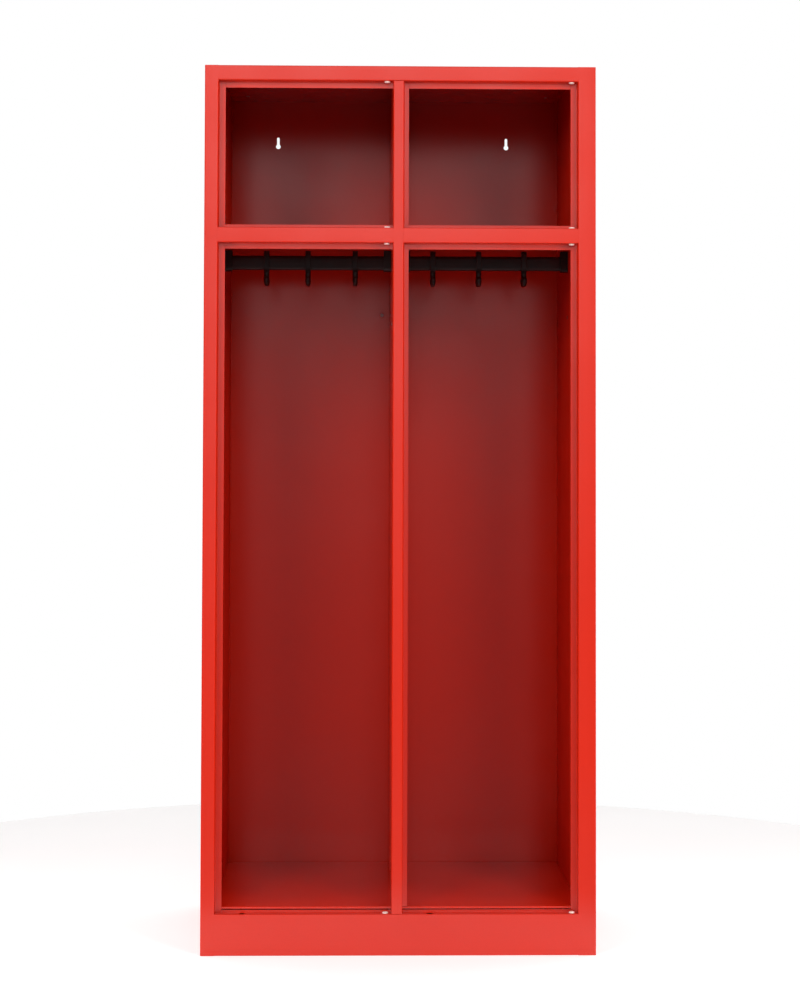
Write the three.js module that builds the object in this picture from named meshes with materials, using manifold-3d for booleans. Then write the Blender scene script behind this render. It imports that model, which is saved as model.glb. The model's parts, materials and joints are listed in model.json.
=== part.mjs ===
// School locker: an open-fronted sheet-steel locker with two bays. Each bay has a hat compartment
// over a hanging compartment, whose coat rail carries three sliding hooks.
//
// Millimetres, +Z up, front towards -Y. The origin is the middle of the footprint, on the ground.

import * as THREE from "three";
import { mergeVertices } from "three/addons/utils/BufferGeometryUtils.js";
import Module from "manifold-3d";

const wasm = await Module();
wasm.setup();

// ---------------------------------------------------------------- driving dimensions

const WIDTH = 820;
const HEIGHT = 1850;
const DEPTH = 500;

const SHEET = 1; // thickness of the sheet steel
const BEND = 2; // outer radius of a fold in it
const BEND_STEPS = 3; // facets in one fold
const ARC_STEPS = 8; // facets in a half circle of the rails, brackets and hooks
const ROUND_STEPS = 12; // facets round a small turned piece or hole
const GAP = 0.3; // clearance between pieces that touch
const LIP = 15; // width of a hidden joining lip

// The front frame, as seen from the front. Each member is folded back by RECESS to a flat stop
// that a door would close against.
const LEFT_STILE = 29;
const RIGHT_STILE = 37.4;
const POST = 22.8;
const LEFT_OPENING = 366;
const TOP_RAIL = 31;
const MID_RAIL = 31.6;
const RECESS = 20;
const SIDE_STOP = 13.7;
const POST_STOP = 10.2;
const TOP_STOP = 13.3;
const MID_LOWER_STOP = 12.2;
const PLINTH_STOP = 5.5;
const FLOOR_LIP = 4.6;

// Heights above the ground.
const LEDGE = 85;
const FLOOR = 97;
const MID_RAIL_TOP = 1510;
const SHELF = 1517.2;

// Walls inside the cabinet.
const LEFT_WALL = 29; // outer skin to the inner face of its liner
const RIGHT_WALL = 35;
const PARTITION = 25; // left face to right face
const LINER_LIP = 12;
const LINER_BOTTOM = 78;
const PARTITION_LIP = 10;

// Coat rail, an oval tube on edge, and its end brackets.
const RAIL_HEIGHT = 32;
const RAIL_THICKNESS = 15;
const RAIL_WALL = 1.5;
const RAIL_CENTRE = 1455;
const BRACKET_LENGTH = 16.5;
const BRACKET_PLATE = 2.5;
const BRACKET_TOP = 1482;
const BRACKET_WALL = 3;
const BRACKET_CLEARANCE = 0.5; // between the rail and its bracket

// Hooks. Each is a ring on the rail with a two-armed hook under it.
const HOOK_WIDTH = 12;
const HOOK_CLEARANCE = 0.8;
const HOOK_WALL = 3.2;
const HOOK_TOP = 1482;
const HOOK_BOTTOM = 1404;
const HOOK_ARM = 6;
const HOOK_THROAT = 7; // inner radius of each arm's curve
const HOOK_TIP_RADIUS = 5;

// Door pivot bushes.
const BUSH_FLANGE_RADIUS = 6;
const BUSH_FLANGE = 3;
const BUSH_CHAMFER = 0.8;
const BUSH_SHANK_RADIUS = 4;
const BUSH_SHANK = 4;
const BUSH_BORE_RADIUS = 2.5;
const BUSH_FROM_JAMB = 12.5;
const BUSH_FROM_FRONT = 10;

// Holes.
const LATCH_HOLE_RADIUS = 7;
const LATCH_HOLE_FROM_JAMB = 57;
const KEYHOLES = [-273.5, 255.5]; // across, from the middle of the cabinet
const KEYHOLE_HEIGHT = 1745; // centre of the round part
const KEYHOLE_RADIUS = 5.5;
const KEYHOLE_SLOT = 6;
const KEYHOLE_SLOT_TOP = 1766.5;

// Rivets. Those in the back panel are what the cabinet stands clear of a wall by.
const RIVET_HEAD_RADIUS = 4;
const RIVET_HEAD = 1.6;
const RIVET_SHANK_RADIUS = 1.9;
const RIVET_TAIL = 2; // the closed end, past the sheets that it holds
const BACK_RIVETS = { perSide: 5, fromSide: 8, fromEnd: 60 };
const CEILING_RIVET = { fromSide: 70, fromBack: 88 };
const PARTITION_RIVET = { fromFront: 110, height: 1313 };
const LINER_RIVET = { fromFront: 252, height: 1337 };
const BACK_WALL_RIVET = { across: -32, height: 1354 };

// ---------------------------------------------------------------- planes worked out from them

const LEFT = -WIDTH / 2;
const RIGHT = WIDTH / 2;
const FRONT = -DEPTH / 2;
const BACK = DEPTH / 2 - GAP - RIVET_HEAD; // rear face of the back panel
const STOP = FRONT + RECESS;
const BEHIND_STOP = STOP + SHEET + GAP;
const BACK_LIP = BACK - SHEET - GAP; // rear face of everything the back panel covers

const LEFT_JAMB = LEFT + LEFT_STILE;
const RIGHT_JAMB = RIGHT - RIGHT_STILE;
const POST_LEFT = LEFT_JAMB + LEFT_OPENING;
const POST_RIGHT = POST_LEFT + POST;
const POST_STOP_EDGE = POST_RIGHT + POST_STOP;
const LEFT_STOP_EDGE = LEFT_JAMB + SIDE_STOP;
const RIGHT_STOP_EDGE = RIGHT_JAMB - SIDE_STOP;

const LEFT_LINER = LEFT + LEFT_WALL;
const RIGHT_LINER = RIGHT - RIGHT_WALL;
const PARTITION_RIGHT = POST_LEFT + PARTITION;

const TOP_RAIL_BOTTOM = HEIGHT - TOP_RAIL;
const MID_RAIL_BOTTOM = MID_RAIL_TOP - MID_RAIL;
const UNDER_TOP = HEIGHT - SHEET - GAP;
const CUT = 1; // how far a cutting tool runs past what it cuts

// What each bay is bounded by, from left to right: the edges of its opening and the inner faces
// of its walls. Hooks are placed by their distance from the cabinet's left side.
const BAYS = [
  {
    name: "left",
    jambs: [LEFT_JAMB, POST_LEFT],
    walls: [LEFT_LINER, POST_LEFT],
    sides: ["outer", "inner"],
    hooks: [121, 212, 316],
  },
  {
    name: "right",
    jambs: [POST_RIGHT, RIGHT_JAMB],
    walls: [PARTITION_RIGHT, RIGHT_LINER],
    sides: ["inner", "outer"],
    hooks: [487, 588, 688],
  },
];

// ---------------------------------------------------------------- materials

const redCoat = new THREE.MeshStandardMaterial({ color: 0xd8362c, roughness: 0.35, metalness: 0 });
const blackCoat = new THREE.MeshStandardMaterial({ color: 0x141415, roughness: 0.4, metalness: 0 });
const blackPlastic = new THREE.MeshStandardMaterial({ color: 0x101011, roughness: 0.3, metalness: 0 });
const palePlastic = new THREE.MeshStandardMaterial({ color: 0xe8d8d2, roughness: 0.5, metalness: 0 });
const zincSteel = new THREE.MeshStandardMaterial({ color: 0xb8b8b4, roughness: 0.35, metalness: 1 });

// ---------------------------------------------------------------- solids

// A closed three.js geometry as a solid that can be joined and cut.
function solid(geometry) {
  const bare = geometry.index ? geometry.toNonIndexed() : geometry.clone();
  bare.deleteAttribute("normal");
  bare.deleteAttribute("uv");
  const merged = mergeVertices(bare, 1e-4);
  return new wasm.Manifold(
    new wasm.Mesh({
      numProp: 3,
      vertProperties: merged.attributes.position.array,
      triVerts: new Uint32Array(merged.index.array),
    }),
  );
}

// A solid as a named mesh.
function piece(name, shape, material) {
  const made = shape.getMesh();
  const geometry = new THREE.BufferGeometry();
  geometry.setAttribute("position", new THREE.BufferAttribute(made.vertProperties, 3));
  geometry.setIndex(new THREE.BufferAttribute(made.triVerts, 1));
  geometry.computeVertexNormals();
  const mesh = new THREE.Mesh(geometry, material);
  mesh.name = name;
  return mesh;
}

// A box between two corners.
function box([x0, y0, z0], [x1, y1, z1]) {
  const geometry = new THREE.BoxGeometry(x1 - x0, y1 - y0, z1 - z0);
  geometry.translate((x0 + x1) / 2, (y0 + y1) / 2, (z0 + z1) / 2);
  return solid(geometry);
}

// A lathe profile of [radius, height] points, turned about `axis` and set down at `at`.
// Heights run along the axis.
function turned(profile, at, axis) {
  const points = profile.map(([r, h]) => new THREE.Vector2(r, h));
  const geometry = new THREE.LatheGeometry(points, ROUND_STEPS);
  const turn = new THREE.Quaternion().setFromUnitVectors(new THREE.Vector3(0, 1, 0), axis);
  geometry.applyQuaternion(turn);
  geometry.translate(...at);
  return solid(geometry);
}

// A round bar that cuts a hole: centre, axis, radius and how far it runs each way.
function bar(at, axis, radius, reach) {
  const profile = [[0, -reach], [radius, -reach], [radius, reach], [0, reach]];
  return turned(profile, at, axis);
}

const X_AXIS = new THREE.Vector3(1, 0, 0);
const Y_AXIS = new THREE.Vector3(0, 1, 0);
const Z_AXIS = new THREE.Vector3(0, 0, 1);

// A shape drawn in plan (x, y), between two heights.
function extrudeUp(shape, from, to) {
  const geometry = new THREE.ExtrudeGeometry(shape, { depth: to - from, bevelEnabled: false });
  geometry.translate(0, 0, from);
  return solid(geometry);
}

// A shape drawn from the side (y, z), between two x positions.
function extrudeAcross(shape, from, to) {
  const geometry = new THREE.ExtrudeGeometry(shape, {
    depth: to - from,
    bevelEnabled: false,
    curveSegments: ARC_STEPS / 2, // three.js gives an arc two facets for each
  });
  geometry.applyMatrix4(new THREE.Matrix4().makeBasis(Y_AXIS, Z_AXIS, X_AXIS));
  geometry.translate(from, 0, 0);
  return solid(geometry);
}

// A shape drawn from behind (z, x), between two y positions.
function extrudeBack(shape, from, to) {
  const geometry = new THREE.ExtrudeGeometry(shape, { depth: to - from, bevelEnabled: false });
  geometry.applyMatrix4(new THREE.Matrix4().makeBasis(Z_AXIS, X_AXIS, Y_AXIS));
  geometry.translate(0, from, 0);
  return solid(geometry);
}

// The section of a folded sheet. `path` runs along the face that shows, with square corners, and
// the metal lies on its left. Each corner becomes a fold with the sheet's thickness all round it.
function folded(path) {
  const face = [];
  const behind = [];
  const points = path.map(([u, v]) => new THREE.Vector2(u, v));
  const leftOf = (d) => new THREE.Vector2(-d.y, d.x);
  points.forEach((corner, i) => {
    const before = i > 0 ? corner.clone().sub(points[i - 1]).normalize() : null;
    const after = i < points.length - 1 ? points[i + 1].clone().sub(corner).normalize() : null;
    if (!before || !after) {
      face.push(corner);
      behind.push(corner.clone().addScaledVector(leftOf(before ?? after), SHEET));
      return;
    }
    const turn = Math.sign(before.cross(after)); // 1 turns towards the metal, -1 away from it
    const faceRadius = turn > 0 ? BEND : BEND - SHEET;
    const behindRadius = turn > 0 ? BEND - SHEET : BEND;
    const centre = corner
      .clone()
      .addScaledVector(before, -faceRadius)
      .addScaledVector(leftOf(before), turn * faceRadius);
    const start = leftOf(before).multiplyScalar(-turn);
    for (let step = 0; step <= BEND_STEPS; step += 1) {
      const spoke = start
        .clone()
        .rotateAround(new THREE.Vector2(), (turn * step * Math.PI) / 2 / BEND_STEPS);
      face.push(centre.clone().addScaledVector(spoke, faceRadius));
      behind.push(centre.clone().addScaledVector(spoke, behindRadius));
    }
  });
  return new THREE.Shape([...face, ...behind.reverse()]);
}

// The same section seen in a mirror at u = 0, with its metal on the left again.
function mirrored(path) {
  return path.map(([u, v]) => [-u, v]).reverse();
}

// An upright stadium: two half circles joined by straight sides.
function stadium(Path, centre, height, radius) {
  const shape = new Path();
  const straight = height / 2 - radius;
  shape.absarc(0, centre + straight, radius, 0, Math.PI, false);
  shape.absarc(0, centre - straight, radius, Math.PI, 2 * Math.PI, false);
  shape.closePath();
  return shape;
}

// ---------------------------------------------------------------- fasteners

// A domed rivet whose head points along `axis` and rests on the surface at `at`, with a shank
// that goes back from there by `length`.
function rivet(at, axis, length) {
  const dome = [0, 0.35, 0.7, 1].map((t) => {
    const angle = (t * Math.PI) / 2;
    return [RIVET_HEAD_RADIUS * Math.sin(angle), GAP + RIVET_HEAD * Math.cos(angle)];
  });
  const shank = [
    [0, -length],
    [RIVET_SHANK_RADIUS, -length],
    [RIVET_SHANK_RADIUS, GAP],
  ];
  return turned([...shank, ...dome.reverse()], at, axis);
}

// The hole that a rivet goes through.
function rivetHole(at, axis, grip) {
  return bar(at, axis, RIVET_SHANK_RADIUS + GAP, grip + CUT);
}

// Blind rivets along both edges of the back panel.
const BACK_GRIP = 2 * SHEET + GAP;
const backRivets = [];
for (const [side, way] of [["left", -1], ["right", 1]]) {
  const { perSide, fromSide, fromEnd } = BACK_RIVETS;
  const pitch = (HEIGHT - 2 * fromEnd) / (perSide - 1);
  for (let i = 0; i < perSide; i += 1) {
    const at = [way * (WIDTH / 2 - fromSide), BACK, fromEnd + i * pitch];
    backRivets.push({ name: `back_rivet_${side}_${i + 1}`, at });
  }
}

// Rivets whose heads show inside the compartments.
const DOWN = new THREE.Vector3(0, 0, -1);
const TOWARDS_LEFT = new THREE.Vector3(-1, 0, 0);
const TOWARDS_FRONT = new THREE.Vector3(0, -1, 0);
const ceilingRivets = [["left", -1], ["right", 1]].map(([side, way]) => ({
  name: `ceiling_rivet_${side}`,
  at: [way * (WIDTH / 2 - CEILING_RIVET.fromSide), BACK - CEILING_RIVET.fromBack, HEIGHT - SHEET],
  axis: DOWN,
}));
const partitionRivet = {
  name: "partition_rivet",
  at: [POST_LEFT, FRONT + PARTITION_RIVET.fromFront, PARTITION_RIVET.height],
  axis: TOWARDS_LEFT,
};
const linerRivet = {
  name: "side_wall_rivet",
  at: [RIGHT_LINER, FRONT + LINER_RIVET.fromFront, LINER_RIVET.height],
  axis: TOWARDS_LEFT,
};
const backWallRivet = {
  name: "back_wall_rivet",
  at: [BACK_WALL_RIVET.across, BACK - SHEET, BACK_WALL_RIVET.height],
  axis: TOWARDS_FRONT,
};
const wallRivets = [partitionRivet, linerRivet, backWallRivet];

// ---------------------------------------------------------------- cabinet panels

// Left outer side: joining lip, outer skin, stile, fold back and door stop, in one sheet.
const leftSidePath = [
  [LEFT + LIP, BACK_LIP],
  [LEFT, BACK_LIP],
  [LEFT, FRONT],
  [LEFT_JAMB, FRONT],
  [LEFT_JAMB, STOP],
  [LEFT_STOP_EDGE, STOP],
];

// The right side is the same sheet in a mirror, with a wider stile.
const rightSidePath = mirrored([
  [LEFT + LIP, BACK_LIP],
  [LEFT, BACK_LIP],
  [LEFT, FRONT],
  [-RIGHT_JAMB, FRONT],
  [-RIGHT_JAMB, STOP],
  [-RIGHT_STOP_EDGE, STOP],
]);

function sidePanel(side, path) {
  const inner = WIDTH / 2 - SHEET;
  const roomForTop = box([-inner, FRONT + SHEET, UNDER_TOP], [inner, BACK, HEIGHT + CUT]);
  let panel = extrudeUp(folded(path), 0, HEIGHT).subtract(roomForTop);
  for (const { at } of backRivets) panel = panel.subtract(rivetHole(at, Y_AXIS, BACK_GRIP));
  return piece(`side_panel_${side}`, panel, redCoat);
}

// Inner skin of a side wall, a shallow channel behind the stile.
function sideLiner(side, path) {
  let liner = extrudeUp(folded(path), LINER_BOTTOM, UNDER_TOP);
  liner = liner.subtract(rivetHole(linerRivet.at, X_AXIS, SHEET));
  for (const screw of bracketScrews()) liner = liner.subtract(screwHole(screw));
  return piece(`side_liner_${side}`, liner, redCoat);
}

// The section of the liner whose inner face is at x, on the left side.
function linerPath(x) {
  return [
    [x - LINER_LIP, BEHIND_STOP],
    [x, BEHIND_STOP],
    [x, BACK_LIP],
    [x - LINER_LIP, BACK_LIP],
  ];
}

// Left skin of the partition, folded round the centre post to its door stop.
function partitionLeft() {
  const skin = extrudeUp(
    folded([
      [POST_LEFT + LINER_LIP, BACK_LIP],
      [POST_LEFT, BACK_LIP],
      [POST_LEFT, FRONT],
      [POST_RIGHT, FRONT],
      [POST_RIGHT, STOP],
      [POST_STOP_EDGE, STOP],
    ]),
    LEDGE + 2 * GAP,
    UNDER_TOP,
  );
  const side = [POST_LEFT - CUT, POST_STOP_EDGE + CUT];
  const underTopRail = box(
    [side[0], FRONT - CUT, TOP_RAIL_BOTTOM - GAP],
    [side[1], BEHIND_STOP, HEIGHT],
  );
  const overFloor = box([side[0], STOP - GAP, 0], [side[1], BACK, FLOOR + GAP]);
  let made = skin.subtract(underTopRail).subtract(overFloor);
  made = made.subtract(rivetHole(partitionRivet.at, X_AXIS, SHEET));
  for (const screw of bracketScrews()) made = made.subtract(screwHole(screw));
  return piece("partition_left_skin", made, redCoat);
}

// Right skin of the partition, a channel that closes its hollow.
function partitionRight() {
  const path = [
    [PARTITION_RIGHT - PARTITION_LIP, BEHIND_STOP],
    [PARTITION_RIGHT, BEHIND_STOP],
    [PARTITION_RIGHT, BACK_LIP],
    [PARTITION_RIGHT - PARTITION_LIP, BACK_LIP],
  ];
  let skin = extrudeUp(folded(path), FLOOR + GAP, UNDER_TOP);
  for (const screw of bracketScrews()) skin = skin.subtract(screwHole(screw));
  return piece("partition_right_skin", skin, redCoat);
}

// Cuts a cross member clear of the stiles' and post's stops, which run up behind it.
function clearOfStops(member) {
  const stops = [
    [LEFT, LEFT_STOP_EDGE + GAP],
    [POST_RIGHT - GAP, POST_STOP_EDGE + GAP],
    [RIGHT_STOP_EDGE - GAP, RIGHT],
  ];
  let made = member;
  for (const [x0, x1] of stops) {
    made = made.subtract(box([x0, STOP - GAP, 0], [x1, BEHIND_STOP, HEIGHT]));
  }
  return made;
}

// Top panel: top sheet, top rail and its stop, in one sheet.
function topPanel() {
  const section = folded([
    [BACK_LIP, HEIGHT],
    [FRONT, HEIGHT],
    [FRONT, TOP_RAIL_BOTTOM],
    [STOP, TOP_RAIL_BOTTOM],
    [STOP, TOP_RAIL_BOTTOM - TOP_STOP],
  ]);
  const inner = WIDTH / 2 - SHEET - GAP;
  const underSheet = HEIGHT - SHEET;
  const bottom = TOP_RAIL_BOTTOM - TOP_STOP - CUT;
  let panel = extrudeAcross(section, -inner, inner);

  // The rail butts between the stiles, and the top sheet reaches over them to the outer skins.
  for (const [x0, x1] of [[LEFT, LEFT_JAMB + GAP], [RIGHT_JAMB - GAP, RIGHT]]) {
    panel = panel.subtract(box([x0, FRONT - CUT, bottom], [x1, BEHIND_STOP, underSheet]));
    panel = panel.subtract(box([x0, FRONT - CUT, bottom], [x1, FRONT + SHEET + GAP, HEIGHT + CUT]));
  }
  for (const [x0, x1] of [[LEFT, LEFT_STOP_EDGE + GAP], [RIGHT_STOP_EDGE - GAP, RIGHT]]) {
    panel = panel.subtract(box([x0, STOP - GAP, bottom], [x1, BEHIND_STOP, underSheet]));
  }
  // The post stands under the rail, so the rail's stop is interrupted there.
  const post = box(
    [POST_LEFT - GAP, STOP - BEND, bottom],
    [POST_STOP_EDGE + GAP, BEHIND_STOP, TOP_RAIL_BOTTOM],
  );
  panel = panel.subtract(post);

  // Side lips, turned down inside the outer skins between the stiles and the back.
  const lipTop = HEIGHT - SHEET / 2;
  const lipBack = BACK_LIP - LIP;
  for (const [x0, x1] of [[-inner, -inner + SHEET], [inner - SHEET, inner]]) {
    panel = panel.add(box([x0, BEHIND_STOP, HEIGHT - LIP], [x1, lipBack, lipTop]));
  }
  for (const { at } of ceilingRivets) panel = panel.subtract(rivetHole(at, Z_AXIS, SHEET));
  for (const hole of bushHoles()) panel = panel.subtract(hole);
  return piece("top_panel", panel, redCoat);
}

// Back panel: one flat sheet, with two keyholes to hang or tie the cabinet to a wall.
function backPanel() {
  let panel = box([LEFT, BACK - SHEET, 0], [RIGHT, BACK, HEIGHT]);
  for (const x of KEYHOLES) {
    const round = bar([x, BACK, KEYHOLE_HEIGHT], Y_AXIS, KEYHOLE_RADIUS, 2 * SHEET);
    const half = KEYHOLE_SLOT / 2;
    const slotEnd = KEYHOLE_SLOT_TOP - half;
    const slot = box([x - half, BACK - 2 * SHEET, KEYHOLE_HEIGHT], [x + half, BACK + SHEET, slotEnd]);
    const crown = bar([x, BACK, slotEnd], Y_AXIS, half, 2 * SHEET);
    panel = panel.subtract(round.add(slot).add(crown));
  }
  for (const { at } of backRivets) panel = panel.subtract(rivetHole(at, Y_AXIS, BACK_GRIP));
  panel = panel.subtract(rivetHole(backWallRivet.at, Y_AXIS, SHEET));
  return piece("back_panel", panel, redCoat);
}

// Floor: a tray between the liners with its lips turned down and its back corners notched.
const FLOOR_NOTCH = 9;

function floorPanel() {
  const x0 = LEFT_LINER + GAP;
  const x1 = RIGHT_LINER - GAP;
  const section = folded([
    [BACK_LIP, FLOOR - LIP],
    [BACK_LIP, FLOOR],
    [STOP, FLOOR],
    [STOP, FLOOR - FLOOR_LIP],
  ]);
  let floor = extrudeAcross(section, x0, x1);
  for (const [from, to] of [[x0 - CUT, x0 + FLOOR_NOTCH], [x1 - FLOOR_NOTCH, x1 + CUT]]) {
    floor = floor.subtract(box([from, BACK_LIP - FLOOR_NOTCH, 0], [to, BACK, FLOOR + CUT]));
  }
  // The front lip runs between the stiles' stops.
  for (const [from, to] of [[x0 - CUT, LEFT_STOP_EDGE + GAP], [RIGHT_STOP_EDGE - GAP, x1 + CUT]]) {
    floor = floor.subtract(box([from, STOP - GAP, 0], [to, BEHIND_STOP, FLOOR + CUT]));
  }
  const lipTop = FLOOR - SHEET / 2;
  for (const [from, to] of [[x0, x0 + SHEET], [x1 - SHEET, x1]]) {
    floor = floor.add(box([from, BEHIND_STOP + SHEET, FLOOR - LIP], [to, BACK_LIP - LIP, lipTop]));
  }
  return piece("floor_panel", floor, redCoat);
}

// Plinth: stop, ledge, face and bottom return, between the stiles.
function plinthPanel() {
  const section = folded([
    [STOP, LEDGE + PLINTH_STOP],
    [STOP, LEDGE],
    [FRONT, LEDGE],
    [FRONT, 0],
    [STOP, 0],
  ]);
  let plinth = extrudeAcross(section, LEFT_JAMB + GAP, RIGHT_JAMB - GAP);
  for (const [x0, x1] of [[LEFT, LEFT_STOP_EDGE + GAP], [RIGHT_STOP_EDGE - GAP, RIGHT]]) {
    plinth = plinth.subtract(box([x0, STOP - GAP, -CUT], [x1, BEHIND_STOP, FLOOR]));
  }
  for (const { jambs } of BAYS) {
    const at = [jambs[0] + LATCH_HOLE_FROM_JAMB, (FRONT + STOP) / 2, LEDGE];
    plinth = plinth.subtract(bar(at, Z_AXIS, LATCH_HOLE_RADIUS, 2 * SHEET));
  }
  for (const hole of bushHoles()) plinth = plinth.subtract(hole);
  return piece("plinth_panel", plinth, redCoat);
}

// Mid rail of one bay: upper stop, rail and lower stop, in one sheet.
function midRail(bay) {
  const section = folded([
    [STOP, SHELF],
    [STOP, MID_RAIL_TOP],
    [FRONT, MID_RAIL_TOP],
    [FRONT, MID_RAIL_BOTTOM],
    [STOP, MID_RAIL_BOTTOM],
    [STOP, MID_RAIL_BOTTOM - MID_LOWER_STOP],
  ]);
  let rail = extrudeAcross(section, bay.jambs[0] + GAP, bay.jambs[1] - GAP);
  rail = clearOfStops(rail);
  for (const hole of bushHoles()) rail = rail.subtract(hole);
  return piece(`mid_rail_${bay.name}`, rail, redCoat);
}

// Shelf of one bay: a tray behind the mid rail, with all four lips turned down.
const SHELF_LIP = 9;

function shelf(bay) {
  const x0 = bay.walls[0] + GAP;
  const x1 = bay.walls[1] - GAP;
  const section = folded([
    [BACK_LIP, SHELF - SHELF_LIP],
    [BACK_LIP, SHELF],
    [BEHIND_STOP, SHELF],
    [BEHIND_STOP, SHELF - SHELF_LIP],
  ]);
  let tray = extrudeAcross(section, x0, x1);
  const lipTop = SHELF - SHEET / 2;
  for (const [from, to] of [[x0, x0 + SHEET], [x1 - SHEET, x1]]) {
    tray = tray.add(
      box([from, BEHIND_STOP + BEND, SHELF - SHELF_LIP], [to, BACK_LIP - BEND, lipTop]),
    );
  }
  return piece(`shelf_${bay.name}`, tray, redCoat);
}

// Channels on edge under the floor, which carry it and the partition.
const CHANNEL_WIDTH = 30;
const CHANNEL_FROM_WALL = 4;

function baseChannels() {
  const top = FLOOR - SHEET - GAP;
  const places = [
    ["left", LEFT_LINER + CHANNEL_FROM_WALL],
    ["centre", (POST_LEFT + PARTITION_RIGHT - CHANNEL_WIDTH) / 2],
    ["right", RIGHT_LINER - CHANNEL_FROM_WALL - CHANNEL_WIDTH],
  ];
  const room = LIP + BEND;
  return places.map(([name, x]) => {
    const section = folded([
      [0, x + CHANNEL_WIDTH],
      [0, x],
      [top, x],
      [top, x + CHANNEL_WIDTH],
    ]);
    const channel = extrudeBack(section, STOP + room, BACK_LIP - room);
    return piece(`base_channel_${name}`, channel, redCoat);
  });
}

// A small angle that ties the right liner to the back panel in the hat compartment.
const CLIP_LEG = 9;
const CLIP_BOTTOM = 1596.5;
const CLIP_HEIGHT = 16;

function cornerClip() {
  const wall = RIGHT_LINER - GAP;
  const path = [
    [wall, BACK_LIP - CLIP_LEG],
    [wall, BACK_LIP],
    [wall - CLIP_LEG, BACK_LIP],
  ];
  const clip = extrudeUp(folded(path), CLIP_BOTTOM, CLIP_BOTTOM + CLIP_HEIGHT);
  return piece("corner_clip", clip, redCoat);
}

// ---------------------------------------------------------------- door pivot bushes

// One bush: where its flange rests, and which way the flange faces.
function bushPlaces() {
  const y = FRONT + BUSH_FROM_FRONT;
  const up = Z_AXIS;
  return BAYS.flatMap((bay) => {
    const x = bay.jambs[1] - BUSH_FROM_JAMB;
    return [
      { name: `bush_${bay.name}_top`, at: [x, y, TOP_RAIL_BOTTOM], axis: DOWN },
      { name: `bush_${bay.name}_above_rail`, at: [x, y, MID_RAIL_TOP], axis: up },
      { name: `bush_${bay.name}_below_rail`, at: [x, y, MID_RAIL_BOTTOM], axis: DOWN },
      { name: `bush_${bay.name}_ledge`, at: [x, y, LEDGE], axis: up },
    ];
  });
}

function bushHoles() {
  return bushPlaces().map(({ at }) => bar(at, Z_AXIS, BUSH_SHANK_RADIUS + GAP, 2 * SHEET));
}

function bushes() {
  const profile = [
    [BUSH_BORE_RADIUS, -BUSH_SHANK],
    [BUSH_SHANK_RADIUS, -BUSH_SHANK],
    [BUSH_SHANK_RADIUS, GAP],
    [BUSH_FLANGE_RADIUS, GAP],
    [BUSH_FLANGE_RADIUS, BUSH_FLANGE - BUSH_CHAMFER],
    [BUSH_FLANGE_RADIUS - BUSH_CHAMFER, BUSH_FLANGE],
    [BUSH_BORE_RADIUS, BUSH_FLANGE],
    [BUSH_BORE_RADIUS, -BUSH_SHANK],
  ];
  return bushPlaces().map(({ name, at, axis }) =>
    piece(name, turned(profile, at, axis), palePlastic),
  );
}

// ---------------------------------------------------------------- coat rails

const SCREW_HEAD_RADIUS = 3.2;
const SCREW_HEAD = 2;
const SCREW_HEAD_CHAMFER = 0.8;
const SCREW_SHANK_RADIUS = 1.8;
const SCREW_SHANK = 4; // how far it goes past the bracket's plate
const SCREW_HEIGHT = BRACKET_TOP - 4.7;

// Each bracket: the wall that it is on, and the way from the wall into the bay.
function brackets() {
  return BAYS.flatMap(({ name, walls, sides }) => [
    { name: `${name}_${sides[0]}`, wall: walls[0], into: 1 },
    { name: `${name}_${sides[1]}`, wall: walls[1], into: -1 },
  ]);
}

function bracketScrews() {
  return brackets().map(({ name, wall, into }) => ({
    name: `bracket_screw_${name}`,
    seat: [wall + into * (GAP + BRACKET_PLATE), 0, SCREW_HEIGHT],
    axis: new THREE.Vector3(into, 0, 0),
  }));
}

function screwHole({ seat, axis }) {
  return bar(seat, axis, SCREW_SHANK_RADIUS + GAP, BRACKET_PLATE + 2 * SHEET);
}

// A cup that is open at the top, on a plate against the wall.
function railBracket({ name, wall, into }) {
  const inner = RAIL_THICKNESS / 2 + BRACKET_CLEARANCE;
  const outer = inner + BRACKET_WALL;
  const centre = RAIL_CENTRE - RAIL_HEIGHT / 2 - BRACKET_CLEARANCE + inner;
  const cup = (radius) => {
    const shape = new THREE.Shape();
    shape.moveTo(radius, BRACKET_TOP);
    shape.lineTo(-radius, BRACKET_TOP);
    shape.absarc(0, centre, radius, Math.PI, 2 * Math.PI, false);
    shape.closePath();
    return shape;
  };
  const span = (a, b) => [Math.min(a, b), Math.max(a, b)];
  const plateFace = wall + into * (GAP + BRACKET_PLATE);
  const end = wall + into * BRACKET_LENGTH;
  const block = extrudeAcross(cup(outer), ...span(wall + into * GAP, end));
  const [x0, x1] = span(plateFace, end + into * CUT);
  const hollow = extrudeAcross(cup(inner), x0, x1);
  const mouth = box([x0, -inner, BRACKET_TOP - CUT], [x1, inner, BRACKET_TOP + CUT]);
  const screw = bracketScrews().find((one) => one.name.endsWith(name));
  const bracket = block.subtract(hollow).subtract(mouth).subtract(screwHole(screw));
  return piece(`rail_bracket_${name}`, bracket, blackPlastic);
}

function bracketScrew({ name, seat, axis }) {
  const rim = SCREW_HEAD + GAP;
  const profile = [
    [0, -BRACKET_PLATE - SCREW_SHANK],
    [SCREW_SHANK_RADIUS, -BRACKET_PLATE - SCREW_SHANK],
    [SCREW_SHANK_RADIUS, GAP],
    [SCREW_HEAD_RADIUS, GAP],
    [SCREW_HEAD_RADIUS, rim - SCREW_HEAD_CHAMFER],
    [SCREW_HEAD_RADIUS - SCREW_HEAD_CHAMFER, rim],
    [0, rim],
  ];
  return piece(name, turned(profile, seat, axis), zincSteel);
}

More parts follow.
